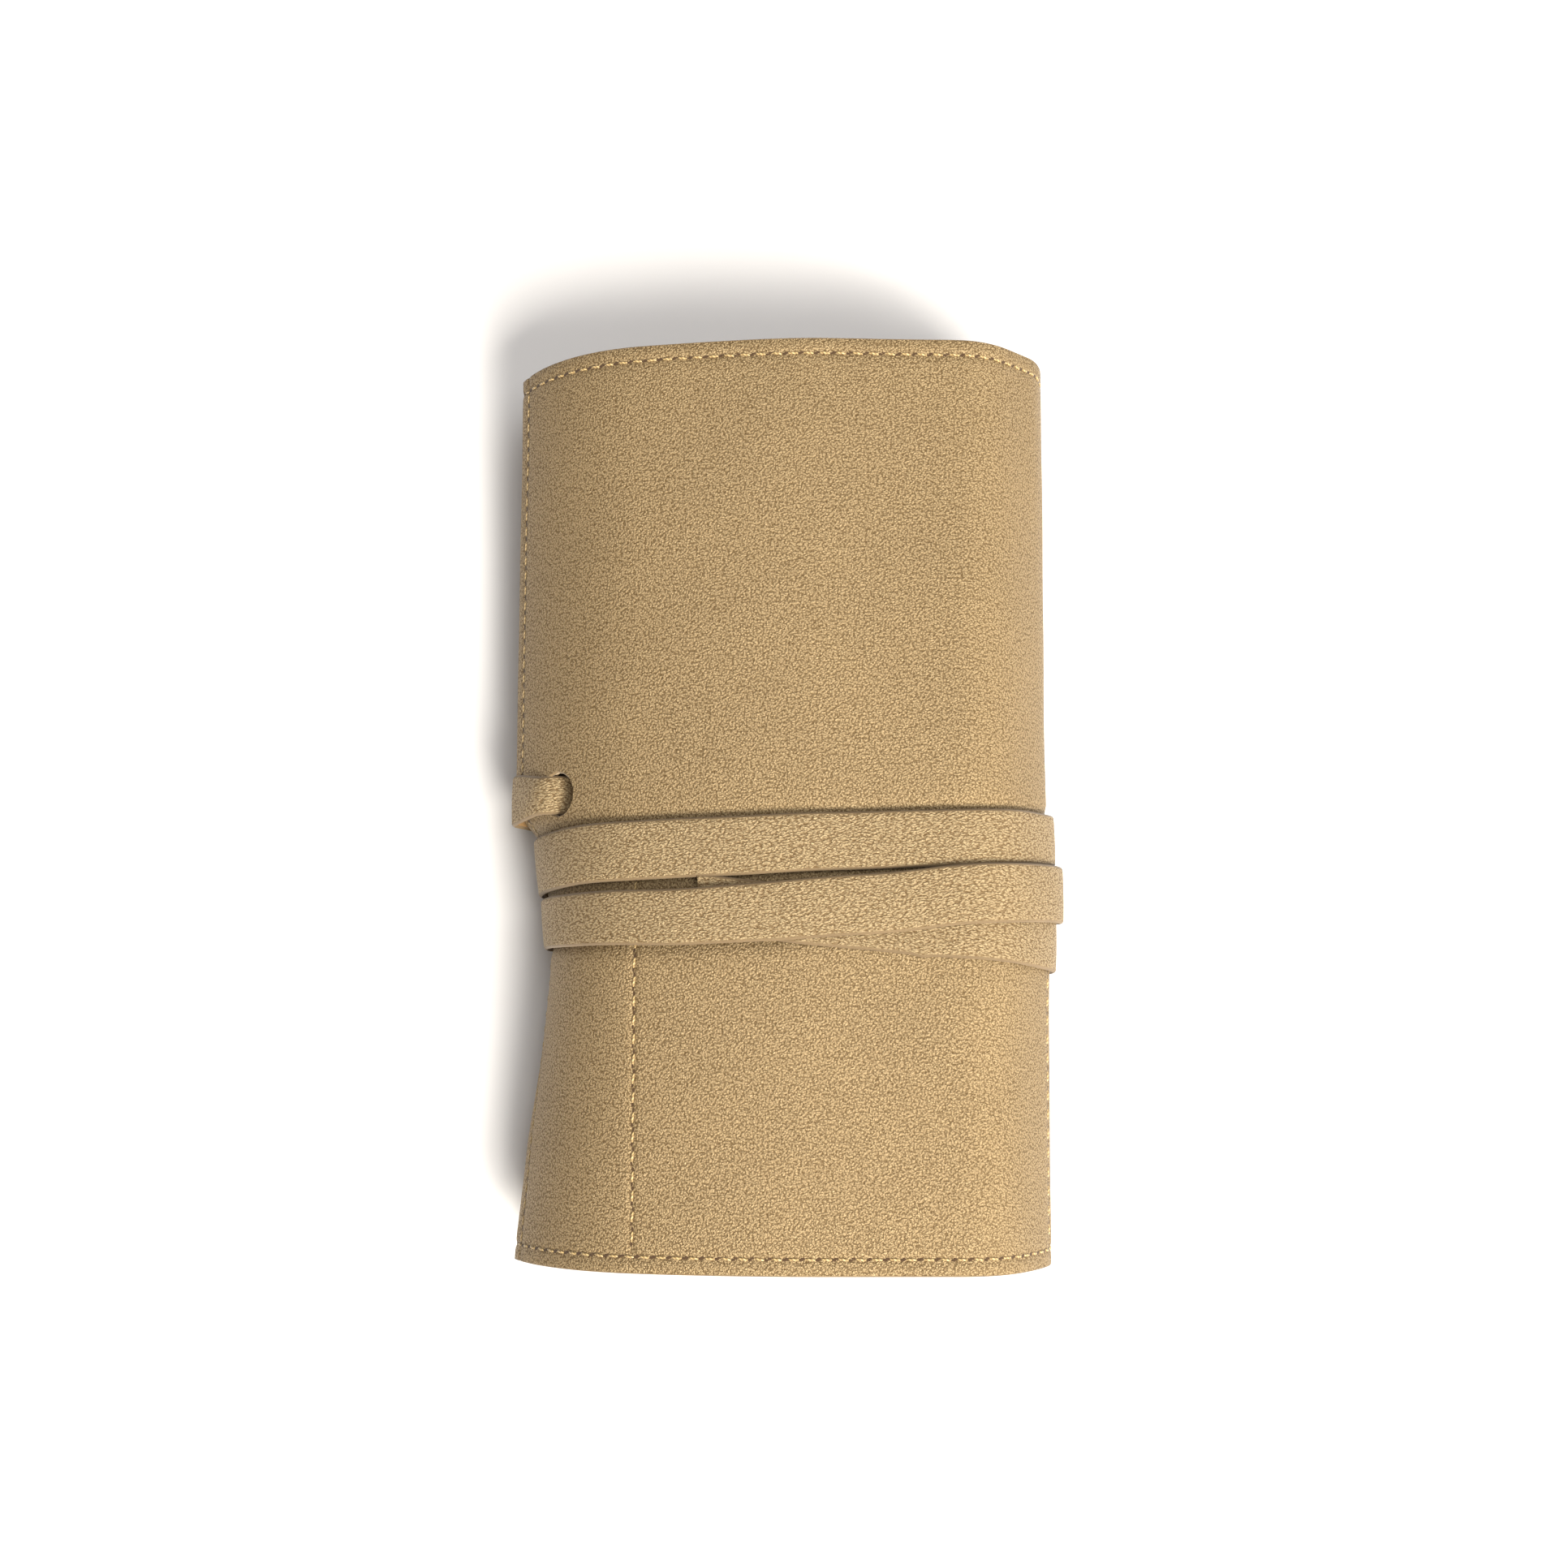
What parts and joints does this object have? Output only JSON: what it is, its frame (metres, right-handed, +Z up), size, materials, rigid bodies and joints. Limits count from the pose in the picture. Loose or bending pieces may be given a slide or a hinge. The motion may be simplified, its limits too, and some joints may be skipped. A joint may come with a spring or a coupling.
{
  "type": "brush roll case",
  "caption": "Rolled soft case for paint brushes, metallic leather with stitched hems, brush pockets inside, tied shut by a long flat strap sewn to its free edge",
  "frame": {"origin": "on the floor under the middle of the rolled case, which lies on its back", "axes": "+Y along the roll towards its top end, +Z up, -X towards the free edge of the cover"},
  "size_m": [0.1369, 0.22, 0.0536],
  "materials": {
    "leather": "metallic gold foil on pebble-grain imitation leather",
    "strap": "the same leather, raw cut edges in tan",
    "lining": "brushed tan suede cloth",
    "pocket": "metallic gold imitation leather, softer grain",
    "padding": "pale felt",
    "thread": "pale gold polyester thread"
  },
  "bodies": {
    "back": {"back_shell": "leather", "back_padding": "padding", "back_lining": "lining", "back_hem_stitches": "thread", "brush_pocket_1": "pocket", "brush_pocket_2": "pocket", "brush_pocket_3": "pocket", "brush_pocket_4": "pocket", "brush_pocket_stitches": "thread"},
    "right_lower": {"right_lower_shell": "leather", "right_lower_padding": "padding", "right_lower_lining": "lining", "right_lower_hem_stitches": "thread"},
    "right_upper": {"right_upper_shell": "leather", "right_upper_padding": "padding", "right_upper_lining": "lining", "right_upper_hem_stitches": "thread", "right_upper_pocket_sheet": "pocket", "pocket_side_stitches": "thread"},
    "cover": {"cover_shell": "leather", "cover_padding": "padding", "cover_lining": "lining", "cover_hem_stitches": "thread", "cover_wide_pocket": "pocket", "pocket_seam_stitches": "thread", "free_edge_stitches": "thread", "strap_loop": "strap", "strap_anchor_stitches": "thread"},
    "left_lower": {"left_lower_shell": "leather", "left_lower_padding": "padding", "left_lower_lining": "lining", "left_lower_hem_stitches": "thread"},
    "left_upper": {"left_upper_shell": "leather", "left_upper_padding": "padding", "left_upper_lining": "lining", "left_upper_hem_stitches": "thread"},
    "inner_panel": {"inner_panel_shell": "leather", "inner_panel_padding": "padding", "inner_panel_lining": "lining", "inner_panel_hem_stitches": "thread", "inner_brush_pockets": "pocket", "inner_edge_stitches": "thread"},
    "strap": {"strap_windings": "strap"}
  },
  "joints": [
    {"name": "unroll", "type": "hinge", "parent": "back", "child": "right_lower", "pos_m": [0.0522, 0, 0.00335], "axis": [0, 1, 0], "range_deg": [0, 60], "deforming": ["strap_windings"]},
    {"name": "right_fold_middle", "type": "hinge", "parent": "right_lower", "child": "right_upper", "pos_m": [0.0647, 0, 0.025], "axis": [0, 1, 0], "range_deg": [0, 60]},
    {"name": "right_fold_top", "type": "hinge", "parent": "right_upper", "child": "cover", "pos_m": [0.0522, 0, 0.04665], "axis": [0, 1, 0], "range_deg": [0, 60]},
    {"name": "left_fold_bottom", "type": "hinge", "parent": "back", "child": "left_lower", "pos_m": [-0.0513, 0, 0.00214], "axis": [0, -1, 0], "range_deg": [0, 60]},
    {"name": "left_fold_middle", "type": "hinge", "parent": "left_lower", "child": "left_upper", "pos_m": [-0.0593, 0, 0.016], "axis": [0, -1, 0], "range_deg": [0, 60]},
    {"name": "left_fold_top", "type": "hinge", "parent": "left_upper", "child": "inner_panel", "pos_m": [-0.0513, 0, 0.02986], "axis": [0, -1, 0], "range_deg": [0, 60]},
    {"name": "strap_unwrap", "type": "hinge", "parent": "cover", "child": "strap", "pos_m": [-0.06682, 0, 0.01874], "axis": [0, 1, 0], "range_deg": [0, 192]}
  ],
  "couplings": [
    {"joint": "right_fold_middle", "follows": "unroll", "ratio": 1},
    {"joint": "right_fold_top", "follows": "unroll", "ratio": 1},
    {"joint": "left_fold_bottom", "follows": "unroll", "ratio": 1},
    {"joint": "left_fold_middle", "follows": "unroll", "ratio": 1},
    {"joint": "left_fold_top", "follows": "unroll", "ratio": 1},
    {"joint": "strap_unwrap", "follows": "unroll", "ratio": 3.2}
  ]
}
